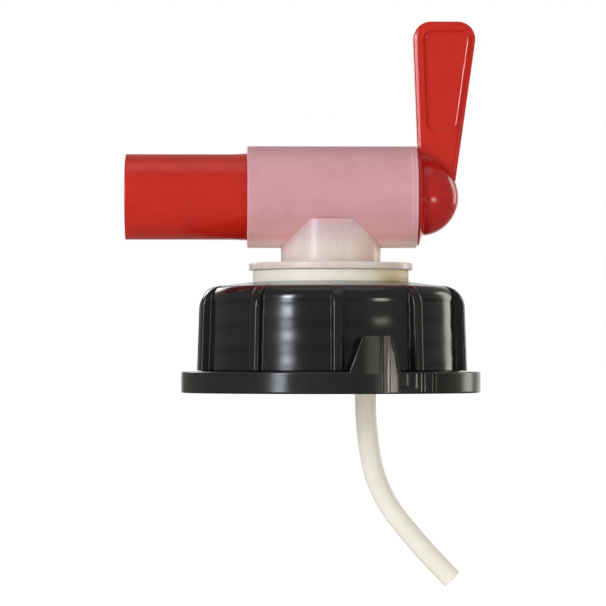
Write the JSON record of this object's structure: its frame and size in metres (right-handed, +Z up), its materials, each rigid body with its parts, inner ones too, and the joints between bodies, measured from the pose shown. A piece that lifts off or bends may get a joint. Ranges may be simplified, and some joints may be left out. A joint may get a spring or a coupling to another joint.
{
  "type": "canister tap",
  "caption": "Rotary dispensing tap on a ribbed screw cap with a tear band, for a canister: spout, quarter-turn lever and a curved vent tube.",
  "frame": {"origin": "on the cap's axis, in the gasket's sealing face that rests on the canister's mouth", "axes": "+Z up out of the canister, -X along the spout, lever standing up at the +X end"},
  "size_m": [0.0949, 0.08, 0.1511],
  "materials": {
    "natural_plastic": "satin translucent moulding",
    "cream_plastic": "satin moulding",
    "gasket_rubber": "matt",
    "tube_plastic": "satin translucent tube",
    "red_plastic": "semi-gloss moulding",
    "black_plastic": "gloss moulding",
    "band_plastic": "gloss moulding"
  },
  "bodies": {
    "tap_body": {"tap_body": "natural_plastic", "adapter_ring": "cream_plastic", "cap_gasket": "gasket_rubber", "vent_tube": "tube_plastic"},
    "cap": {"screw_cap": "black_plastic", "tear_band": "band_plastic"},
    "plug": {"plug": "red_plastic"}
  },
  "joints": [
    {"name": "cap_spin", "type": "hinge", "parent": "tap_body", "child": "cap", "pos_m": [0, 0, 0], "axis": [0, 0, 1], "continuous": true},
    {"name": "plug_turn", "type": "hinge", "parent": "tap_body", "child": "plug", "pos_m": [0, 0, 0.0299], "axis": [1, 0, 0], "range_deg": [-90, 0]}
  ]
}
